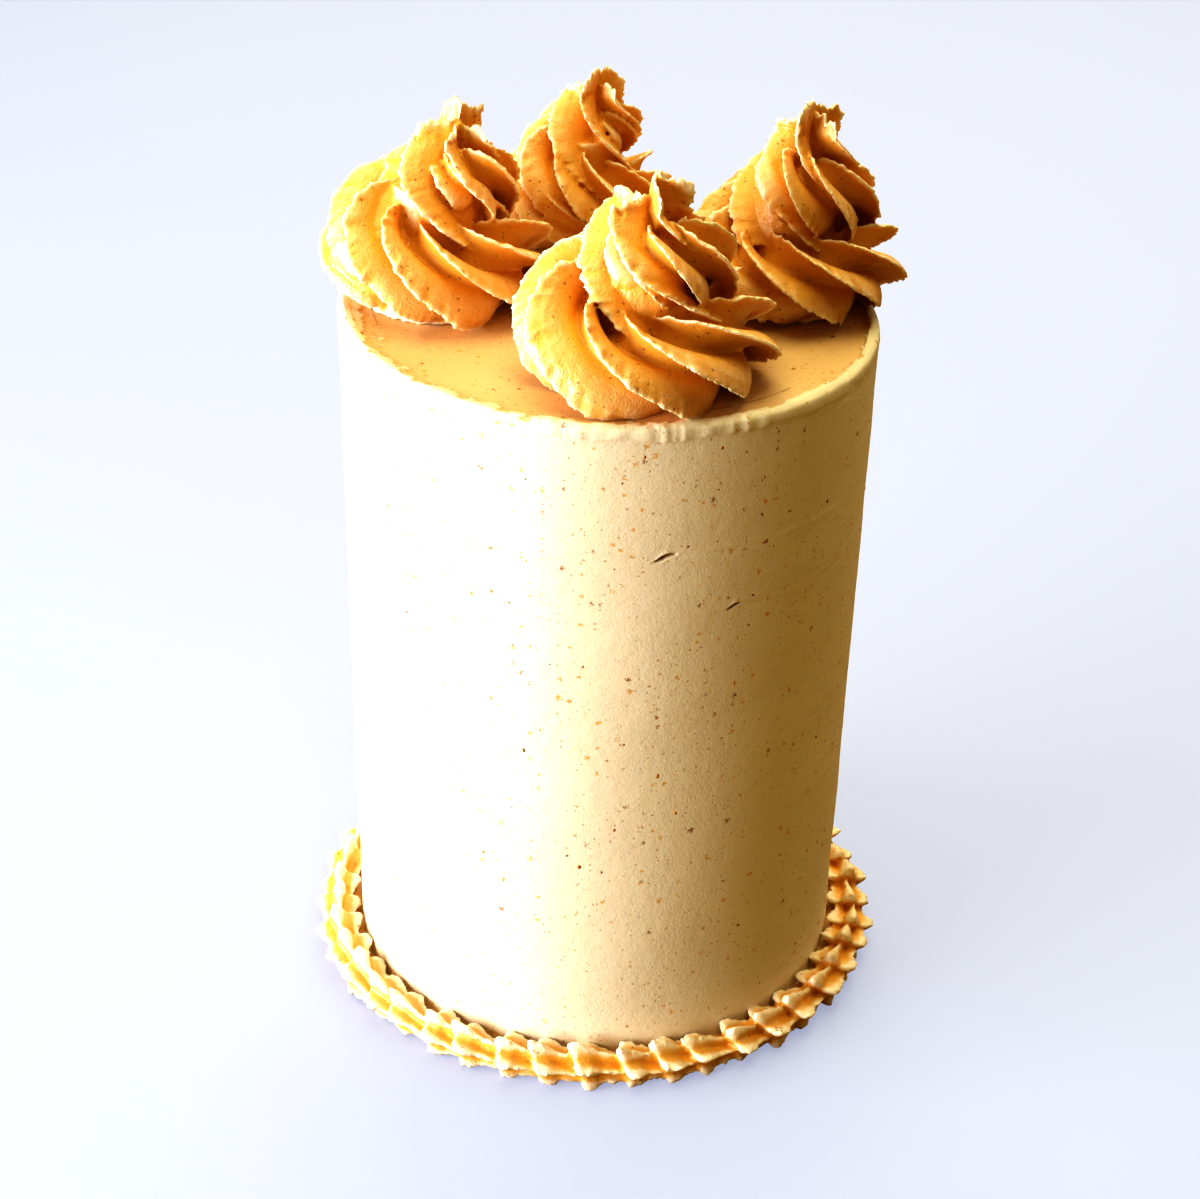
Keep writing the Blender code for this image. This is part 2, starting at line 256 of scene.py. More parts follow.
class FleckSettings(bpy.types.PropertyGroup):
    """Loose peanut flecks in the coat"""

    side: count_setting("On the side", "Flecks in the side", 520, 0)
    top: count_setting("On the top", "Flecks in the top", 120, 0)
    largest: length_setting("Largest", "Radius of the largest fleck", 0.00055)


class StageSettings(bpy.types.PropertyGroup):
    """Floor, light and camera"""

    floor_colour: colour_setting("Floor", "Colour of the floor", (0.334, 0.364, 0.470))
    room_colour: colour_setting("Room", "Colour of the room behind the floor", (0.465, 0.487, 0.550))
    bounce: colour_setting("Bounce", "Colour that the floor throws back on the cake", (0.26, 0.155, 0.025))
    glow: colour_setting(
        "Glow", "Colour of the light that the room throws back on the cake", (0.162, 0.115, 0.026))
    key_power: power_setting("Key light", "Power of the window light", 15.6)
    back_power: power_setting("Back light", "Power of the light from the wall behind", 5.6)
    top_power: power_setting("Top light", "Power of the light from the ceiling", 8.4)
    corner_power: power_setting("Corner light", "Power of the small light from the right", 0.84)
    distance: length_setting("Camera distance", "Level distance to the cake's axis", 0.5025)
    side: length_setting("Camera side", "How far the camera stands to the right of the axis", 0.0023)
    level: length_setting("Camera height", "Height above the cake's foot", 0.3837)
    pitch: angle_setting("Pitch", "How far the camera looks down", 0.5374)
    yaw: angle_setting("Yaw", "How far the camera looks to the right", -0.005)
    roll: angle_setting("Roll", "Lean of the camera", 0.0228)
    lens: number_setting("Lens", "Focal length in millimetres", 81.444)


def top_level(x):
    """Height of the flat of the cake's top, which leans along X."""
    return CAKE_HEIGHT + TOP_SLOPE_X * x


def around_axis(radius, turn, height):
    """Points at a distance from an upright axis, a bearing and a height."""
    return np.stack(np.broadcast_arrays(radius * np.cos(turn), radius * np.sin(turn), height), axis=-1)


def eased(stage, stops, values):
    """A table read along a path, with its corners rounded."""
    steps = len(stage)
    span = max(3, steps // 14)
    kernel = np.hanning(span + 2)[1:-1]
    kernel /= kernel.sum()
    padded = np.pad(np.interp(stage, stops, values), span, mode="edge")
    return np.convolve(padded, kernel, mode="same")[span:-span]


def wander(count, step, draw):
    """A smooth random series between about -1 and 1 that changes every few steps."""
    knots = draw.uniform(-1.0, 1.0, int(count / step) + 4)
    places = np.arange(count) / step + 1.0
    left = places.astype(int)
    share = places - left
    share = share * share * (3.0 - 2.0 * share)
    return knots[left] * (1.0 - share) + knots[left + 1] * share


def tooth_sizes(seed):
    """How far each ridge of one swirl reaches, and how tall its torn strand stands."""
    draw = np.random.default_rng(seed)
    reach = 1.0 + draw.uniform(-0.10, 0.08, NOZZLE_TEETH)
    strand = draw.uniform(0.30, 0.85, NOZZLE_TEETH)
    strand[int(draw.integers(NOZZLE_TEETH))] = 1.0
    return reach, strand


def star(teeth, samples, valley, sharpness, reach, droop, frill):
    """Angles and distances round star sections, a row a ring; the other sizes have a column a tooth."""
    place = np.arange(teeth * samples) / samples
    nearest = np.round(place).astype(int)
    crest = np.clip((1.0 - 2.0 * np.abs(place - nearest)) / (1.0 - BLUNT), 0.0, 1.0) ** sharpness
    tooth = nearest % teeth
    distance = valley + (reach[:, tooth] - valley) * crest + frill[:, tooth] * crest ** 4.0
    angle = place * math.tau / teeth - droop[:, tooth] * crest ** 2
    return angle, distance


def frames_along(centres, bearings):
    """Outward and upward directions square to a path that winds about an upright axis."""
    ahead = np.gradient(centres, axis=0)
    ahead /= np.linalg.norm(ahead, axis=1)[:, None]
    outward = np.stack([np.cos(bearings), np.sin(bearings), np.zeros_like(bearings)], axis=1)
    outward -= (outward * ahead).sum(axis=1)[:, None] * ahead
    outward /= np.linalg.norm(outward, axis=1)[:, None]
    upward = np.cross(outward, ahead)
    upward *= np.sign(upward[:, 2].mean())
    return ahead, outward, upward


def torn(count, step, depth, draw):
    """Unevenness of torn edges, a column a tooth: slow swells, fine teeth and a few deeper nicks."""
    columns = []
    for _ in range(NOZZLE_TEETH):
        swell = wander(count, 9.0 * step, draw)
        teeth = wander(count, step, draw)
        fine = wander(count, 0.5 * step, draw)
        nick = np.clip(wander(count, 2.0 * step, draw) - 0.5, 0.0, 1.0)
        columns.append(0.6 * swell + 0.45 * teeth + 0.30 * fine - 1.8 * nick)
    return depth * np.stack(columns, axis=1)


def rope_rings(look, at, width, height, start, lean, seed):
    """Star sections along the rope of one swirl."""
    tooth_reach, _ = tooth_sizes(seed)
    draw = np.random.default_rng(seed + 100)
    count = int(SWIRL_TURNS * look.rings_per_turn) + 1
    stage = np.linspace(0.0, 1.0, count)
    bearings = math.radians(start) - math.tau * SWIRL_TURNS * stage
    rope = 0.5 * width * ROPE_RADIUS
    loop = (0.5 * width - rope) * eased(stage, ROPE_STAGE, LOOP_RADIUS)
    rise = height * eased(stage, ROPE_STAGE, ROPE_HEIGHT)
    thick = rope * eased(stage, ROPE_STAGE, ROPE_WIDTH)
    bend = (rise / height) ** 2
    centres = np.stack([
        at[0] + loop * np.cos(bearings) + lean[0] * bend,
        at[1] + loop * np.sin(bearings) + lean[1] * bend,
        top_level(at[0]) + rise,
    ], axis=1)
    ahead, outward, upward = frames_along(centres, bearings)
    step = look.rings_per_turn / 90.0
    reach = tooth_reach * np.ones((count, NOZZLE_TEETH))
    frill = torn(count, step, look.tear, draw)
    droop = look.droop * (1.0 + 0.35 * np.stack(
        [wander(count, 22.0 * step, draw) for _ in range(NOZZLE_TEETH)], axis=1))
    angle, distance = star(NOZZLE_TEETH, look.samples, look.valley, look.sharpness, reach, droop, frill)
    angle = angle - RIDGE_TURNS_PER_LOOP * bearings[:, None]
    distance = distance * thick[:, None]
    level = np.hypot(ahead[:, 0], ahead[:, 1])
    inner_limit = AXIS_CLEARANCE * loop / level ** 2
    across = np.maximum(distance * np.cos(angle), -inner_limit[:, None])
    along = distance * np.sin(angle)
    return centres[:, None] + across[..., None] * outward[:, None] + along[..., None] * upward[:, None]


def peak_rings(look, at, width, height, start, lean, seed):
    """Level star sections up the twisted peak, then up each torn strand until it ends."""
    tooth_reach, strand = tooth_sizes(seed)
    draw = np.random.default_rng(seed + 200)
    top = PEAK_HIGH - PEAK_LOW
    share = np.linspace(0.0, 1.0 + STRAND_LENGTH / top, 150)
    rise = PEAK_LOW + share * top
    body = np.clip(share, 0.0, 1.0)
    reach = width * eased(body, PEAK_STAGE, PEAK_REACH)
    above = np.clip((share - 1.0) * top / STRAND_LENGTH, 0.0, 1.0)
    ends = np.clip(1.0 - (above[:, None] / strand) ** 6.0, 0.02, 1.0)
    tooth = tooth_reach * ends
    frill = torn(len(share), 3.0, look.tear, draw) * ends
    valley = look.valley * np.interp(share, BLADE_STAGE, BLADE_VALLEY)
    valley = np.minimum(valley[:, None], 0.9 * tooth.max(axis=1)[:, None])
    sharpness = look.sharpness * np.interp(share, (0.3, 1.0), (1.0, 1.5))[:, None]
    droop = 0.5 * look.droop * np.ones((len(share), NOZZLE_TEETH))
    angle, distance = star(NOZZLE_TEETH, look.samples, valley, sharpness, tooth, droop, frill)
    angle = angle + math.radians(start) + PEAK_TWIST * body[:, None]
    distance = distance * reach[:, None]
    level = top_level(at[0]) + rise * height
    middle = np.stack([at[0] + lean[0] * rise ** 2, at[1] + lean[1] * rise ** 2, level], axis=1)
    return middle[:, None] + around_axis(distance, angle, 0.0)


def core_rings(at, width, height):
    """Rings of the blunt cone in the middle of a swirl."""
    turn = np.linspace(0.0, math.tau, 24, endpoint=False)
    share = np.linspace(0.0, 1.0, 12)
    reach = width * (CORE_LOW + share * (CORE_HIGH - CORE_LOW))
    level = top_level(at[0]) + share * CORE_DEPTH * height
    return np.array((*at, 0.0)) + around_axis(reach[:, None], turn, level[:, None])


def squashed(rings, at):
    """Press what would sink into the cake's top flat against it, and spread it outwards."""
    floor = top_level(rings[..., 0]) - SUNK
    depth = np.clip(floor - rings[..., 2], 0.0, None)
    away = rings[..., :2] - np.array(at)
    away /= np.maximum(np.linalg.norm(away, axis=-1, keepdims=True), MM)
    pressed = rings.copy()
    pressed[..., :2] += away * SPREAD * depth[..., None]
    pressed[..., 2] = np.maximum(rings[..., 2], floor)
    return pressed


def lofted(stacks):
    """Vertices and faces of closed bodies through stacks of rings, each capped by a fan at both ends."""
    points = []
    faces = []
    offset = 0
    for rings in stacks:
        count, around, _ = rings.shape
        points.append(rings.reshape(-1, 3))
        points.append(np.array([rings[0].mean(axis=0), rings[-1].mean(axis=0)]))
        here = np.arange(around)
        there = (here + 1) % around
        rows = offset + around * np.arange(count - 1)[:, None]
        quads = np.stack([rows + here, rows + there, rows + around + there, rows + around + here], axis=-1)
        faces.extend(quads.reshape(-1, 4).tolist())
        low_middle = offset + count * around
        last = offset + (count - 1) * around
        faces.extend([(offset + b, offset + a, low_middle) for a, b in zip(here.tolist(), there.tolist())])
        faces.extend([(last + a, last + b, low_middle + 1) for a, b in zip(here.tolist(), there.tolist())])
        offset += count * around + 2
    return np.concatenate(points), faces


def new_piece(name, points, faces):
    """A mesh object in the scene, facing outwards."""
    mesh = bpy.data.meshes.new(name)
    mesh.from_pydata(points.tolist(), [], faces)
    mesh.update()
    item = bpy.data.objects.new(name, mesh)
    bpy.context.scene.collection.objects.link(item)
    return item


def apply_modifiers(item):
    graph = bpy.context.evaluated_depsgraph_get()
    mesh = bpy.data.meshes.new_from_object(item.evaluated_get(graph))
    item.modifiers.clear()
    old = item.data
    item.data = mesh
    bpy.data.meshes.remove(old)


def edge_ends(mesh):
    ends = np.empty(len(mesh.edges) * 2, dtype=np.int32)
    mesh.edges.foreach_get("vertices", ends)
    return ends.reshape(-1, 2)


def drop_loose_bits(mesh):
    """Delete what doesn't hang together with the largest body of a mesh."""
    ends = edge_ends(mesh)
    label = np.arange(len(mesh.vertices))
    before = None
    while before is None or not np.array_equal(before, label):
        before = label.copy()
        low = np.minimum(label[ends[:, 0]], label[ends[:, 1]])
        np.minimum.at(label, ends[:, 0], low)
        np.minimum.at(label, ends[:, 1], low)
        label = label[label]
    loose = np.flatnonzero(label != np.bincount(label).argmax()).tolist()
    if not loose:
        return
    work = bmesh.new()
    work.from_mesh(mesh)
    work.verts.ensure_lookup_table()
    bmesh.ops.delete(work, geom=[work.verts[number] for number in loose], context="VERTS")
    work.to_mesh(mesh)
    work.free()


def fused(item, voxel, kept):
    """Join the overlapping bodies of a piece into one skin, and keep a share of its triangles."""
    remesh = item.modifiers.new("fused", "REMESH")
    remesh.mode = "VOXEL"
    remesh.voxel_size = voxel
    apply_modifiers(item)
    if not item.data.polygons:
        raise RuntimeError(f"{item.name} has no skin left after fusing")
    drop_loose_bits(item.data)
    thinned = item.modifiers.new("thinned", "DECIMATE")
    thinned.ratio = kept
    apply_modifiers(item)


def coordinates(mesh):
    points = np.empty(len(mesh.vertices) * 3, dtype=np.float32)
    mesh.vertices.foreach_get("co", points)
    return points.reshape(-1, 3).astype(float)


def normals(mesh):
    values = np.empty(len(mesh.vertices) * 3, dtype=np.float32)
    mesh.vertices.foreach_get("normal", values)
    return values.reshape(-1, 3).astype(float)


def put_coordinates(mesh, points):
    mesh.vertices.foreach_set("co", points.astype(np.float32).ravel())
    mesh.update()


def store(piece, name, values):
    """Keep one value a point in a piece for its material to read."""
    layer = piece.data.attributes.new(name, "FLOAT", "POINT")
    layer.data.foreach_set("value", np.asarray(values, dtype=np.float32))


def relief(points, size, stretch=(1.0, 1.0, 1.0)):
    """Smooth noise between about -1 and 1 at each point of an array of any shape."""
    scaled = points / (size * np.array(stretch))
    values = [noise.noise(Vector(point)) for point in scaled.reshape(-1, 3).tolist()]
    return np.array(values).reshape(points.shape[:-1])


def neighbours_mean(mesh, values):
    """Mean of a value over each vertex's neighbours."""
    ends = edge_ends(mesh)
    total = np.zeros_like(values)
    count = np.zeros(len(values))
    np.add.at(total, ends[:, 0], values[ends[:, 1]])
    np.add.at(total, ends[:, 1], values[ends[:, 0]])
    np.add.at(count, ends[:, 0], 1.0)
    np.add.at(count, ends[:, 1], 1.0)
    count = np.maximum(count, 1.0)
    return total / (count[:, None] if values.ndim == 2 else count)


def mark_edges(item, spread, full):
    """Store how far each point stands out of its surroundings, 0 in a valley and 1 on an edge."""
    mesh = item.data
    points = coordinates(mesh)
    smooth = points
    for _ in range(spread):
        smooth = neighbours_mean(mesh, smooth)
    out = ((points - smooth) * normals(mesh)).sum(axis=1)
    for _ in range(2):
        out = neighbours_mean(mesh, out)
    value = np.clip(0.5 + out / full, 0.0, 1.0)
    store(item, "edge", value)


def crumble(item, depth):
    """Break up the thin edges of a piece with small crumbs."""
    mesh = item.data
    points = coordinates(mesh)
    edge = np.empty(len(mesh.vertices), dtype=np.float32)
    mesh.attributes["edge"].data.foreach_get("value", edge)
    share = np.clip((edge - 0.60) / 0.35, 0.0, 1.0)
    shift = np.stack([relief(points + offset, 1.1 * MM) for offset in (0.0, 7.3, 13.1)], axis=1)
    points += depth * share[:, None] * shift
    points[:, 2] = np.maximum(points[:, 2], 0.0)
    put_coordinates(mesh, points)


def fray_top(item, at, height, depth):
    """Tear the tops of the upright blades unevenly."""
    points = coordinates(item.data)
    blade_top = top_level(at[0]) + PEAK_HIGH * height
    share = np.clip((points[:, 2] - blade_top + 2.5 * MM) / (5.0 * MM), 0.0, 1.0)
    chosen = share > 0.0
    flat = points[chosen] * (1.0, 1.0, 0.25)
    lift = relief(flat, 1.5 * MM) + 0.6 * relief(flat + 5.0, 0.7 * MM) - 0.35
    points[chosen, 2] += depth * share[chosen] * np.minimum(lift, 0.15)
    sway = np.stack([relief(flat + offset, 1.8 * MM) for offset in (3.1, 9.7)], axis=1)
    points[chosen, :2] += 0.5 * depth * share[chosen, None] * sway
    put_coordinates(item.data, points)


def finish_piece(item, material, slot, *nodes):
    """Shade a piece, give it its material and its place in the frame."""
    item.data.shade_smooth()
    item.data.materials.clear()
    item.data.materials.append(material)
    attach(item, "root")
    if nodes:
        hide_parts(*nodes)


def new_group(name, inputs, outputs):
    """An empty shader node group with named sockets."""
    group = bpy.data.node_groups.new(name, "ShaderNodeTree")
    for label, kind, value in inputs:
        socket = group.interface.new_socket(name=label, in_out="INPUT", socket_type=kind)
        if value is not None:
            socket.default_value = value
    for label, kind in outputs:
        group.interface.new_socket(name=label, in_out="OUTPUT", socket_type=kind)
    return group, group.nodes.new("NodeGroupInput"), group.nodes.new("NodeGroupOutput")


def fill(tree, node, **values):
    """Give inputs a socket to read or a plain value; an underscore stands for a space in an input's name."""
    for label, value in values.items():
        socket = node.inputs[label.replace("_", " ")]
        if isinstance(value, bpy.types.NodeSocket):
            tree.links.new(value, socket)
        else:
            socket.default_value = value
    return node


def added(tree, kind, **values):
    """A new shader node with some of its inputs filled."""
    return fill(tree, tree.nodes.new("ShaderNode" + kind), **values)


def attribute(tree, name):
    """A value that a mesh stores at its points."""
    node = tree.nodes.new("ShaderNodeAttribute")
    node.attribute_name = name
    return node.outputs["Fac"]


def maths(tree, operation, first, second=None, clamp=False):
    """A Math node; each of its values is a socket or a number."""
    node = tree.nodes.new("ShaderNodeMath")
    node.operation = operation
    node.use_clamp = clamp
    for place, value in enumerate((first, second)):
        if value is None:
            continue
        if isinstance(value, (int, float)):
            node.inputs[place].default_value = value
        else:
            tree.links.new(value, node.inputs[place])
    return node.outputs[0]


def ramp(tree, value, low, high):
    """A smooth step from 0 at low to 1 at high."""
    node = added(tree, "MapRange", Value=value, From_Min=low, From_Max=high)
    node.interpolation_type = "SMOOTHSTEP"
    return node.outputs["Result"]


def mixed(tree, share, first, second):
    """A colour mix; share, first and second are sockets or plain values."""
    node = tree.nodes.new("ShaderNodeMix")
    node.data_type = "RGBA"
    for label, value in (("Factor", share), ("A", first), ("B", second)):
        socket = next(s for s in node.inputs if s.name == label and s.enabled)
        if isinstance(value, bpy.types.NodeSocket):
            tree.links.new(value, socket)
        elif isinstance(value, (int, float)):
            socket.default_value = value
        else:
            socket.default_value = (*value, 1.0)
    return next(s for s in node.outputs if s.enabled)


def noise_node(tree, vector, scale, detail=2.0, roughness=0.5):
    node = added(tree, "TexNoise", Vector=vector, Scale=scale, Detail=detail, Roughness=roughness)
    return node.outputs["Fac"]


def speck_group():
    """Small peanut specks in the icing: a mask, and a value that differs from speck to speck."""
    group, given, out = new_group(
        "peanut_specks",
        [("Vector", "NodeSocketVector", None), ("Scale", "NodeSocketFloat", 900.0),
         ("Share", "NodeSocketFloat", 0.10), ("Size", "NodeSocketFloat", 0.25)],
        [("Mask", "NodeSocketFloat"), ("Kind", "NodeSocketFloat")])
    cells = added(group, "TexVoronoi", Vector=given.outputs["Vector"], Scale=given.outputs["Scale"])
    wobble = noise_node(group, given.outputs["Vector"], 2300.0, detail=1.0)
    parts = added(group, "SeparateColor", Color=cells.outputs["Color"])
    chosen = maths(group, "LESS_THAN", parts.outputs["Red"], given.outputs["Share"])
    uneven = maths(group, "MULTIPLY", maths(group, "SUBTRACT", wobble, 0.5), 3.0)
    size = maths(group, "MULTIPLY", given.outputs["Size"], maths(group, "ADD", parts.outputs["Green"], 0.35))
    edge = maths(group, "SUBTRACT", maths(group, "ADD", size, maths(group, "MULTIPLY", uneven, size)),
                 cells.outputs["Distance"])
    soft = ramp(group, edge, 0.0, 0.17)
    fill(group, out, Mask=maths(group, "MULTIPLY", soft, chosen, clamp=True), Kind=parts.outputs["Blue"])
    return group


def grain_group():
    """The fine grain of whipped icing: a height for bumps and a slow mottle."""
    group, given, out = new_group(
        "icing_grain",
        [("Vector", "NodeSocketVector", None), ("Grain", "NodeSocketFloat", 2200.0),
         ("Pores", "NodeSocketFloat", 0.5)],
        [("Height", "NodeSocketFloat"), ("Mottle", "NodeSocketFloat")])
    place = given.outputs["Vector"]
    fine = noise_node(group, place, given.outputs["Grain"], roughness=0.65)
    pores = added(group, "TexVoronoi", Vector=place, Scale=1100.0)
    hole = maths(group, "MULTIPLY", ramp(group, pores.outputs["Distance"], 0.0, 0.35), given.outputs["Pores"])
    broad = noise_node(group, place, 420.0, detail=1.0)
    height = maths(group, "ADD", maths(group, "ADD", fine, hole), maths(group, "MULTIPLY", broad, 1.2))
    fill(group, out, Height=height, Mottle=noise_node(group, place, 90.0))
    return group


def group_node(tree, group, vector, **values):
    node = tree.nodes.new("ShaderNodeGroup")
    node.node_tree = group
    return fill(tree, node, Vector=vector, **values)


def new_icing(name, roughness, shine, glow, glow_scale):
    """A soft icing shader with light that spreads under its surface."""
    material = bpy.data.materials.new(name)
    material.use_nodes = True
    tree = material.node_tree
    shader = fill(
        tree, tree.nodes["Principled BSDF"], Roughness=roughness, Specular_IOR_Level=shine,
        Subsurface_Weight=glow, Subsurface_Radius=(1.0, 0.62, 0.30), Subsurface_Scale=glow_scale)
    return material, tree, shader


def bumped(tree, shader, height, distance, strength):
    bump = added(tree, "Bump", Height=height, Distance=distance, Strength=strength)
    fill(tree, shader, Normal=bump.outputs["Normal"])


def buttercream_coat(look, specks, grain):
    """Smooth pale buttercream with fine specks; the bare top, the line where the coat ends and the gashes get
    painted shade.
    """
    material, tree, shader = new_icing(
        "buttercream_coat", roughness=0.50, shine=0.42, glow=0.10, glow_scale=0.0016)
    place = tree.nodes.new("ShaderNodeTexCoord").outputs["Object"]
    texture = group_node(tree, grain, place, Grain=1800.0, Pores=0.35)
    fine = group_node(tree, specks, place, Scale=520.0, Share=0.23, Size=0.27)
    tiny = group_node(tree, specks, place, Scale=1250.0, Share=0.20, Size=0.30)
    bare = attribute(tree, "bare")
    shade = mixed(tree, texture.outputs["Mottle"], tuple(0.94 * c for c in look.colour), look.colour)
    # Painted shade: the bare top takes the tanner colour of a surface that gets less light.
    base = mixed(tree, bare, shade, look.shaded_top_colour)
    # Painted shadow along the line where the coat ends on the top.
    coat_end_shadow = maths(tree, "MULTIPLY", bare, maths(tree, "SUBTRACT", 1.0, bare))
    base = mixed(tree, maths(tree, "MULTIPLY", coat_end_shadow, 2.2, clamp=True), base, look.coat_end_shadow_colour)
    warm = mixed(tree, ramp(tree, fine.outputs["Kind"], 0.12, 0.42), look.speck_colour, look.nut_colour)
    base = mixed(tree, maths(tree, "MULTIPLY", tiny.outputs["Mask"], 0.58), base, look.dust_colour)
    base = mixed(tree, maths(tree, "MULTIPLY", fine.outputs["Mask"], 0.78), base, warm)
    # Painted shade inside the gashes, read from the gash mask.
    fill(tree, shader, Base_Color=mixed(tree, attribute(tree, "gash"), base, look.gash_shade_colour))
    bumped(tree, shader, texture.outputs["Height"], distance=0.00013, strength=0.55)
    return material


def piped_peanut_icing(look, specks, grain, body):
    """Piped peanut icing with a painted highlight on thin edges and painted shade in the valleys."""
    material, tree, shader = new_icing(
        "piped_peanut_icing", roughness=0.42, shine=1.00, glow=0.20, glow_scale=0.0020)
    place = tree.nodes.new("ShaderNodeTexCoord").outputs["Object"]
    texture = group_node(tree, grain, place, Grain=2000.0, Pores=0.6)
    tiny = group_node(tree, specks, place, Scale=1000.0, Share=0.15, Size=0.30)
    edge = attribute(tree, "edge")
    # Painted highlight on what stands out and painted shade in the valleys, both read from the edge value.
    high = ramp(tree, edge, 0.48, 0.84)
    low = maths(tree, "SUBTRACT", 1.0, ramp(tree, edge, 0.10, 0.50))
    shade = mixed(tree, texture.outputs["Mottle"], tuple(0.93 * c for c in look.colour), look.colour)
    # Painted shade in the valleys.
    base = mixed(tree, low, shade, look.valley_shade_colour)
    base = mixed(tree, maths(tree, "MULTIPLY", high, 0.92), base, look.edge_highlight_colour)
    base = mixed(tree, maths(tree, "MULTIPLY", tiny.outputs["Mask"], 0.7), base, body.speck_colour)
    fill(tree, shader, Base_Color=base)
    bumped(tree, shader, texture.outputs["Height"], distance=0.00014, strength=0.85)
    return material


def fleck_material():
    """Peanut skin and nut flecks, each fleck in its own brown."""
    material = bpy.data.materials.new("peanut_fleck")
    material.use_nodes = True
    tree = material.node_tree
    place = tree.nodes.new("ShaderNodeTexCoord").outputs["Object"]
    dark = mixed(tree, noise_node(tree, place, 3000.0), (0.16, 0.045, 0.012), (0.36, 0.12, 0.03))
    light = mixed(tree, noise_node(tree, place, 2500.0), (0.55, 0.22, 0.05), (0.72, 0.42, 0.13))
    base = mixed(tree, attribute(tree, "kind"), dark, light)
    fill(tree, tree.nodes["Principled BSDF"], Base_Color=base, Roughness=0.5)
    return material


def shared(name, make, *details):
    """A material or node group that is built once and then found by its name."""
    found = bpy.data.materials.get(name) or bpy.data.node_groups.get(name)
    return found or make(*details)


def icing_materials(scene):
    specks = shared("peanut_specks", speck_group)
    grain = shared("icing_grain", grain_group)
    pale = shared("buttercream_coat", buttercream_coat, scene.cake_body, specks, grain)
    tan = shared("piped_peanut_icing", piped_peanut_icing, scene.cake_swirls, specks, grain, scene.cake_body)
    return pale, tan


def side_radius(level):
    """Radius of the plain side at a height."""
    return FOOT_RADIUS + (level - FOOT_TOP) / (SIDE_TOP - FOOT_TOP) * (TOP_RADIUS - FOOT_RADIUS)


def body_outline(rows):
    """Radius, height and share of the lip for each ring, from under the foot to the middle of the top."""
    foot = [(0.0, 0.0, 0.0), (0.6 * FOOT_RADIUS, 0.0, 0.0), (FOOT_RADIUS - 0.9 * MM, 0.0, 0.0)]
    foot += [(FOOT_RADIUS - 0.25 * MM, 0.2 * MM, 0.0), (FOOT_RADIUS, FOOT_TOP, 0.0)]
    levels = np.linspace(FOOT_TOP, SIDE_TOP, rows)[1:].tolist()
    for _, height, _, width, _, _ in GASHES:
        levels += np.linspace(height - 3.5 * width, height + 3.5 * width, 19).tolist()
    levels += np.linspace(SIDE_TOP - 3.0 * MM, SIDE_TOP, 10)[1:-1].tolist()
    side = [(side_radius(level), level, 0.0) for level in sorted(levels)]
    rim = []
    for share in np.linspace(0.0, 1.0, 16)[1:]:
        turn = share * math.pi
        radius = TOP_RADIUS - 0.5 * LIP_WIDTH * (1.0 - math.cos(turn))
        height = SIDE_TOP + (CAKE_HEIGHT - SIDE_TOP) * min(1.0, 2.0 * share) ** 0.6
        rim.append((radius, min(height, CAKE_HEIGHT), min(1.0, 1.7 * max(0.0, math.sin(turn)))))
    inner = TOP_RADIUS - LIP_WIDTH
    steps = np.concatenate([np.arange(1, 27) * SMEAR_STEP, np.linspace(27 * SMEAR_STEP, inner, 18)[:-1]])
    flat = [(inner - step, CAKE_HEIGHT, 0.0) for step in steps]
    return foot + side + rim + flat + [(0.0, CAKE_HEIGHT, 0.0)]


def crowded(values, centre, reach, extra):
    """Values with more of them close to a centre."""
    return np.unique(np.concatenate([values, np.linspace(centre - reach, centre + reach, extra)]))


def rim_brow(turn, radius, height, crest, nibble):
    """How far the pale band under the rim stands out of the side at the front."""
    facing = np.clip(np.cos(turn - BROW_SIDE), 0.0, 1.0) ** 0.5
    foot = CAKE_HEIGHT - (BROW_HEIGHT + BROW_UNEVEN * crest)
    brow = np.clip((height - foot) / (0.4 * MM), 0.0, 1.0) * facing
    brow *= np.clip((radius - TOP_RADIUS + LIP_WIDTH) / LIP_WIDTH, 0.0, 1.0)
    return brow * MM * np.clip(0.26 + 0.45 * nibble + 0.25 * crest, 0.0, 0.6)


def gash_relief(turn, height, small, on_side):
    """How far the gashes push the side in or out, and a mask of their insides, which get painted shade."""
    out = np.zeros(turn.shape)
    cut = np.zeros(turn.shape)
    for bearing, level, length, width, depth, tilt in GASHES:
        along = (turn - math.radians(bearing)) * TOP_RADIUS
        up = height - level
        lean = math.radians(tilt)
        run = along * math.cos(lean) + up * math.sin(lean)
        rise = up * math.cos(lean) - along * math.sin(lean)
        bow = 0.8 * width * np.sin(1.9 * run / length + 0.6)
        taper = np.clip(1.0 - (run / (1.15 * length)) ** 2, 0.0, 1.0)
        across = (rise - bow) / (width * (0.25 + 0.75 * taper + 0.25 * small))
        hollow = taper ** 0.5 * np.exp(-across ** 4) * on_side
        out -= depth * hollow
        out += 0.12 * depth * taper * np.exp(-(across - 1.9) ** 2) * on_side
        cut = np.maximum(cut, hollow ** 0.4)
    return out, cut


def body_grid(look):
    """Bearing, radius, height and share of the lip of each point of the coat, a row a ring."""
    bearings = np.linspace(-math.pi, math.pi, look.around, endpoint=False)
    for bearing, _, length, _, _, _ in GASHES:
        bearings = crowded(bearings, math.radians(bearing), 1.5 * length / TOP_RADIUS, 25)
    outline = np.array(body_outline(look.rows))[1:-1]
    turn = np.ones(len(outline))[:, None] * bearings
    radius, height, lip = (outline[:, column][:, None] * np.ones(len(bearings)) for column in range(3))
    return turn, radius, height, lip


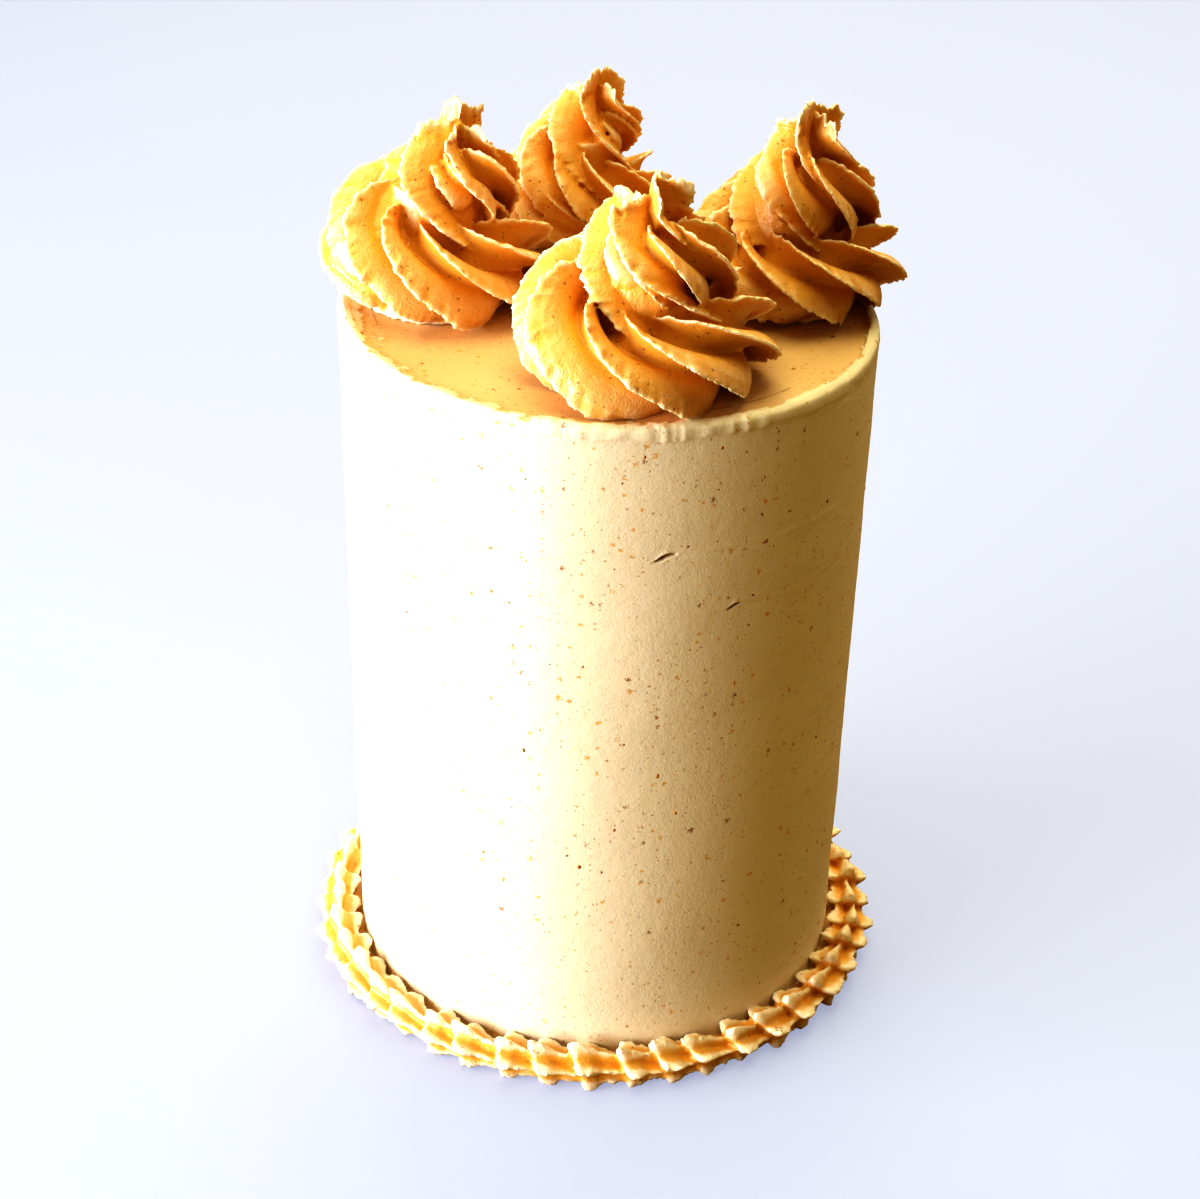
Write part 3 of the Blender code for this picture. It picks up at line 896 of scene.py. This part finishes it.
def iced_body(look):
    """The coat of buttercream as a grid of rings, with waves, streaks, an uneven lip and gashes."""
    turn, radius, height, lip = body_grid(look)
    share = np.clip(height / CAKE_HEIGHT, 0.0, 1.0)
    plain = around_axis(radius, turn, height)
    broad = relief(plain, 26 * MM, (1.0, 1.0, 0.6))
    streak = relief(plain + 0.7, 9 * MM, (1.0, 1.0, 0.14))
    small = relief(plain + 1.9, 1.7 * MM)
    crest = relief(plain + 4.1, 7 * MM, (1.0, 1.0, 4.0))
    nibble = relief(plain + 5.3, 1.6 * MM, (1.0, 1.0, 4.0))
    on_side = np.clip((radius - FOOT_RADIUS * 0.985) / MM, 0.0, 1.0) * (1.0 - lip)
    gashes, cut = gash_relief(turn, height, small, on_side)
    out = (look.wave * broad + look.streak * streak + 0.02 * MM * small) * on_side + gashes
    wave = SIDE_WAVE * np.sin(3 * turn + 1.3) * share * (radius > 0.9 * FOOT_RADIUS)
    reach = radius + wave + out - lip * 0.25 * MM * (crest + 0.6 * nibble)
    reach += rim_brow(turn, radius, height, crest, nibble)
    lip_share = 0.55 + 0.45 * np.cos(turn - LIP_SIDE)
    lip_height = LIP_HEIGHT * lip_share * np.clip(0.78 + 0.35 * crest + 0.18 * nibble, 0.15, 1.0)
    on_top = (height >= CAKE_HEIGHT - 1e-6) * (1.0 - lip)
    smear = 0.10 * MM * broad + 0.05 * MM * relief(plain + 2.3, 5 * MM, (3.0, 0.6, 1.0))
    bare = bare_top(plain, turn, TOP_RADIUS - radius, height)
    points = around_axis(reach, turn, height + lip * lip_height + on_top * smear - look.smear * bare)
    points[..., 2] += TOP_SLOPE_X * points[..., 0] * share
    piece = new_piece("iced_body", *lofted([points]))
    store(piece, "bare", np.append(bare.ravel(), (0.0, 1.0)))
    store(piece, "gash", np.append(cut.ravel(), (0.0, 0.0)))
    return piece


def bare_top(plain, turn, inward, height):
    """Where the side's coat doesn't creep over the rim: 0 under the coat and 1 on the bare top."""
    slow = relief(plain + 6.1, 8.0 * MM)
    ragged = relief(plain + 7.7, 2.4 * MM)
    fine = relief(plain + 8.9, 0.9 * MM)
    torn_share = 0.5 + 0.5 * np.cos(turn - TORN_SIDE)
    creep = CREEP_LEAST + CREEP_BROAD * torn_share * np.clip(slow + 0.25, 0.0, 1.0)
    creep += (0.2 * MM + CREEP_RAGGED * torn_share) * ragged + (0.1 * MM + CREEP_FINE * torn_share) * fine
    share = np.clip((inward - creep) / (0.35 * MM), 0.0, 1.0)
    return share * share * (3.0 - 2.0 * share) * (height > CAKE_HEIGHT - 1.7 * MM)


def border_shell(look, number, draw):
    """Star sections of one shell: a tall head that leans back, then a tail that sinks under the next head."""
    pitch = math.tau / look.shells
    stage = np.linspace(0.0, 1.0, look.rings)
    thick = np.interp(stage, SHELL_STAGE, SHELL_THICK) * (1.0 - draw.uniform(0.0, 0.13))
    valley = np.interp(stage, SHELL_STAGE, SHELL_VALLEY)
    inner = FOOT_RADIUS - 0.6 * MM
    half_width = 0.5 * (look.outer_radius - inner) / math.cos(math.radians(SHELL_TURN))
    middle = 0.5 * (look.outer_radius + inner) - draw.uniform(0.0, 0.35) * MM
    half_height = 0.56 * look.height
    reach = np.ones((look.rings, NOZZLE_TEETH)) * (1.0 - draw.uniform(0.0, 0.06, NOZZLE_TEETH))
    reach[:, 1] += SHELL_CREST * np.exp(-((stage - 0.13) / 0.08) ** 2) * draw.uniform(0.2, 1.0)
    frill = np.stack([0.08 * wander(look.rings, 4.0, draw) + 0.08 * wander(look.rings, 1.5, draw)
                      for _ in range(NOZZLE_TEETH)], axis=1) - 0.03
    droop = np.zeros_like(reach)
    angle, distance = star(NOZZLE_TEETH, look.samples, valley[:, None], 1.5, reach, droop, frill)
    angle = angle + math.radians(SHELL_TURN + draw.uniform(-9.0, 9.0))
    distance = distance * thick[:, None]
    out = half_width * distance * np.cos(angle)
    up = half_height * distance * np.sin(angle)
    level = look.height * (0.42 - 0.16 * np.clip((stage - 0.30) / 0.70, 0.0, 1.0))
    lean = SHELL_LEAN * np.clip(1.0 - stage / 0.60, 0.0, 1.0) * draw.uniform(0.6, 1.3)
    start = number + draw.uniform(-0.12, 0.12)
    bearing = pitch * (start + look.length * stage)[:, None] - lean[:, None] * np.clip(up, 0.0, None) / middle
    height = level[:, None] + up
    radius = middle + out + 0.30 * np.clip(-height, 0.0, None)
    return around_axis(radius, bearing, np.maximum(height, BORDER_LOWEST))


def border_bed(look):
    """Rings of the low bed of icing that joins the shells to one another and to the cake's foot."""
    turn = np.linspace(0.0, math.tau, 361)
    around = np.linspace(0.0, math.tau, 16, endpoint=False)
    radius = FOOT_RADIUS + BED_MIDDLE + BED_HALF_WIDTH * np.cos(around)
    level = BED_HALF_HEIGHT * look.height * (1.0 + np.sin(around))
    return around_axis(radius, turn[:, None], np.maximum(level, BORDER_LOWEST))


def side_spot(draw):
    """A place on the cake's side and the direction outwards there."""
    turn = draw.uniform(-math.pi, math.pi)
    level = CAKE_HEIGHT * (0.06 + 0.92 * draw.random() ** 1.1)
    radius = FOOT_RADIUS + level / CAKE_HEIGHT * (TOP_RADIUS - FOOT_RADIUS)
    radius += SIDE_WAVE * math.sin(3 * turn + 1.3) * level / CAKE_HEIGHT
    normal = Vector((math.cos(turn), math.sin(turn), 0.0))
    at = normal * radius + Vector((0.0, 0.0, level))
    at.z += TOP_SLOPE_X * at.x * level / CAKE_HEIGHT
    return at, normal


def top_spot(draw):
    """A place on the cake's top and the direction upwards."""
    turn = draw.uniform(-math.pi, math.pi)
    radius = (TOP_RADIUS - LIP_WIDTH) * math.sqrt(draw.random())
    at = Vector((radius * math.cos(turn), radius * math.sin(turn), 0.0))
    at.z = top_level(at.x) - 0.1 * MM
    return at, Vector((0.0, 0.0, 1.0))


def add_fleck(points, faces, at, normal, size, draw):
    """An uneven flattened chip, mostly sunk in the icing."""
    across = normal.orthogonal().normalized()
    across.rotate(Matrix.Rotation(draw.uniform(0.0, math.tau), 3, normal))
    along = normal.cross(across)
    first = len(points)
    stretch = draw.uniform(0.55, 1.0)
    points.append(tuple(at + normal * 0.10 * size))
    for turn in range(FLECK_SIDES):
        angle = math.tau * turn / FLECK_SIDES
        reach = size * draw.uniform(0.75, 1.15)
        rim = at + across * reach * math.cos(angle)
        rim += along * reach * stretch * math.sin(angle)
        points.append(tuple(rim - normal * 0.03 * size))
    points.append(tuple(at - normal * 0.6 * size))
    for turn in range(FLECK_SIDES):
        here = first + 1 + turn
        there = first + 1 + (turn + 1) % FLECK_SIDES
        faces.append((first, here, there))
        faces.append((first + FLECK_SIDES + 1, there, here))


class CAKE_OT_ice_body(bpy.types.Operator):
    """Coat the body with pale buttercream"""

    bl_idname = "cake.ice_body"
    bl_label = "Ice the Body"

    def execute(self, context):
        pale, _ = icing_materials(context.scene)
        body = iced_body(context.scene.cake_body)
        finish_piece(body, pale, "pale_icing", "cake")
        return {"FINISHED"}


class CAKE_OT_pipe_swirls(bpy.types.Operator):
    """Pipe the four swirls on the cake's top"""

    bl_idname = "cake.pipe_swirls"
    bl_label = "Pipe the Swirls"

    def execute(self, context):
        look = context.scene.cake_swirls
        _, tan = icing_materials(context.scene)
        for node, place in SWIRLS.items():
            stacks = [rope_rings(look, **place), peak_rings(look, **place)]
            stacks.append(core_rings(place["at"], place["width"], place["height"]))
            piece = new_piece("piped_" + node, *lofted([squashed(rings, place["at"]) for rings in stacks]))
            fused(piece, look.voxel, look.kept)
            points = coordinates(piece.data)
            rough = 0.05 * MM * relief(points, 1.6 * MM) + 0.04 * MM * relief(points + 3.0, 0.6 * MM)
            put_coordinates(piece.data, points + rough[:, None] * normals(piece.data))
            mark_edges(piece, 10, SWIRL_EDGE)
            crumble(piece, look.crumbs)
            fray_top(piece, place["at"], place["height"], look.fray)
            finish_piece(piece, tan, "tan_icing", node)
        return {"FINISHED"}


class CAKE_OT_pipe_border(bpy.types.Operator):
    """Pipe the shell border round the foot"""

    bl_idname = "cake.pipe_border"
    bl_label = "Pipe the Border"

    def execute(self, context):
        look = context.scene.cake_border
        _, tan = icing_materials(context.scene)
        draw = np.random.default_rng(BORDER_SEED)
        shells = [border_shell(look, number, draw) for number in range(look.shells)]
        piece = new_piece("piped_border", *lofted([border_bed(look)] + shells))
        fused(piece, look.voxel, look.kept)
        mark_edges(piece, 6, BORDER_EDGE)
        crumble(piece, look.crumbs)
        finish_piece(piece, tan, "tan_icing", "border")
        return {"FINISHED"}


class CAKE_OT_scatter_flecks(bpy.types.Operator):
    """Press peanut flecks into the coat"""

    bl_idname = "cake.scatter_flecks"
    bl_label = "Scatter the Flecks"

    def execute(self, context):
        look = context.scene.cake_flecks
        draw = np.random.default_rng(FLECK_SEED)
        points = []
        faces = []
        kinds = []
        for number in range(look.side + look.top):
            size = look.largest * (0.22 + 0.78 * draw.random() ** 3.0)
            at, normal = (side_spot if number < look.side else top_spot)(draw)
            add_fleck(points, faces, at, normal, size, draw)
            kinds.extend([draw.random()] * (len(points) - len(kinds)))
        piece = new_piece("peanut_flecks", np.array(points), faces)
        store(piece, "kind", kinds)
        finish_piece(piece, shared("peanut_fleck", fleck_material), "tan_icing")
        return {"FINISHED"}


class CAKE_OT_set_stage(bpy.types.Operator):
    """Lay the floor and place the lights and the camera"""

    bl_idname = "cake.set_stage"
    bl_label = "Set the Stage"

    def execute(self, context):
        look = context.scene.cake_stage
        self.floor(look)
        self.lights(context.scene, look)
        self.camera(context.scene, look)
        context.scene.view_settings.view_transform = "Standard"
        context.scene.view_settings.look = "Very High Contrast"
        return {"FINISHED"}

    @staticmethod
    def seen_and_bounced(tree, seen, bounced, output):
        """Show one shader to the camera and let another one light the cake."""
        path = added(tree, "LightPath")
        choice = added(tree, "MixShader")
        tree.links.new(path.outputs["Is Camera Ray"], choice.inputs[0])
        tree.links.new(bounced.outputs[0], choice.inputs[1])
        tree.links.new(seen.outputs[0], choice.inputs[2])
        tree.links.new(choice.outputs[0], output.inputs["Surface"])

    def floor(self, look):
        sides = ((-1, -1), (1, -1), (1, 1), (-1, 1))
        corners = [(x * FLOOR_HALF, y * FLOOR_HALF, FLOOR_LEVEL) for x, y in sides]
        floor = new_piece("floor", np.array(corners), [(0, 1, 2, 3)])
        material = bpy.data.materials.new("floor")
        material.use_nodes = True
        tree = material.node_tree
        dimmed = [FLOOR_SHADE * channel for channel in look.floor_colour]
        paint = fill(
            tree, tree.nodes["Principled BSDF"], Base_Color=(*dimmed, 1.0), Roughness=0.7,
            Emission_Color=(*look.floor_colour, 1.0), Emission_Strength=FLOOR_GLOW)
        warm = added(tree, "BsdfDiffuse", Color=(*look.bounce, 1.0))
        self.seen_and_bounced(tree, paint, warm, tree.nodes["Material Output"])
        floor.data.materials.append(material)

    def lights(self, scene, look):
        for name, power, at, size, colour in LIGHTS:
            data = bpy.data.lights.new(name, "AREA")
            data.energy = getattr(look, power)
            data.shape = "RECTANGLE"
            data.size, data.size_y = size
            data.color = colour
            lamp = bpy.data.objects.new(name, data)
            lamp.location = at
            aim = Vector((0.0, 0.0, LIGHT_AIM)) - Vector(at)
            lamp.rotation_euler = aim.to_track_quat("-Z", "Y").to_euler()
            scene.collection.objects.link(lamp)
        world = bpy.data.worlds.new("pale_room")
        world.use_nodes = True
        tree = world.node_tree
        room = fill(tree, tree.nodes["Background"], Color=(*look.room_colour, 1.0))
        glow = added(tree, "Background", Color=(*look.glow, 1.0))
        self.seen_and_bounced(tree, room, glow, tree.nodes["World Output"])
        scene.world = world

    @staticmethod
    def camera(scene, look):
        level_ahead = Vector((math.sin(look.yaw), math.cos(look.yaw), 0.0))
        ahead = level_ahead * math.cos(look.pitch) - Vector((0.0, 0.0, math.sin(look.pitch)))
        right = Vector((math.cos(look.yaw), -math.sin(look.yaw), 0.0))
        up = right.cross(ahead)
        rolled_right = right * math.cos(look.roll) + up * math.sin(look.roll)
        rolled_up = up * math.cos(look.roll) - right * math.sin(look.roll)
        data = bpy.data.cameras.new("photo_view")
        data.sensor_width = 36.0
        data.lens = look.lens
        camera = bpy.data.objects.new("photo_view", data)
        columns = Matrix((rolled_right, rolled_up, -ahead)).transposed().to_4x4()
        camera.matrix_world = Matrix.Translation((look.side, -look.distance, look.level)) @ columns
        scene.collection.objects.link(camera)
        scene.camera = camera


class CAKE_PT_dresser(bpy.types.Panel):
    """Buttons and sizes of the cake's dressing"""

    bl_label = "Cake Dresser"
    bl_idname = "CAKE_PT_dresser"
    bl_space_type = "VIEW_3D"
    bl_region_type = "UI"
    bl_category = "Cake"

    def draw(self, context):
        scene = context.scene
        for operator, settings in (
            (CAKE_OT_ice_body, scene.cake_body),
            (CAKE_OT_pipe_swirls, scene.cake_swirls),
            (CAKE_OT_pipe_border, scene.cake_border),
            (CAKE_OT_scatter_flecks, scene.cake_flecks),
            (CAKE_OT_set_stage, scene.cake_stage),
        ):
            box = self.layout.box()
            box.operator(operator.bl_idname)
            for name in settings.__annotations__:
                box.prop(settings, name)


SETTINGS = {
    "cake_body": IcedBodySettings,
    "cake_swirls": SwirlSettings,
    "cake_border": BorderSettings,
    "cake_flecks": FleckSettings,
    "cake_stage": StageSettings,
}
OPERATORS = (
    CAKE_OT_ice_body,
    CAKE_OT_pipe_swirls,
    CAKE_OT_pipe_border,
    CAKE_OT_scatter_flecks,
    CAKE_OT_set_stage,
)


def register():
    for kind in (*SETTINGS.values(), *OPERATORS, CAKE_PT_dresser):
        bpy.utils.register_class(kind)
    for name, kind in SETTINGS.items():
        setattr(bpy.types.Scene, name, bpy.props.PointerProperty(type=kind))


def unregister():
    for name in SETTINGS:
        delattr(bpy.types.Scene, name)
    for kind in reversed((*SETTINGS.values(), *OPERATORS, CAKE_PT_dresser)):
        bpy.utils.unregister_class(kind)


def main():
    register()
    bpy.ops.cake.ice_body()
    bpy.ops.cake.pipe_swirls()
    bpy.ops.cake.pipe_border()
    bpy.ops.cake.scatter_flecks()
    bpy.ops.cake.set_stage()


if __name__ == "__main__":
    main()
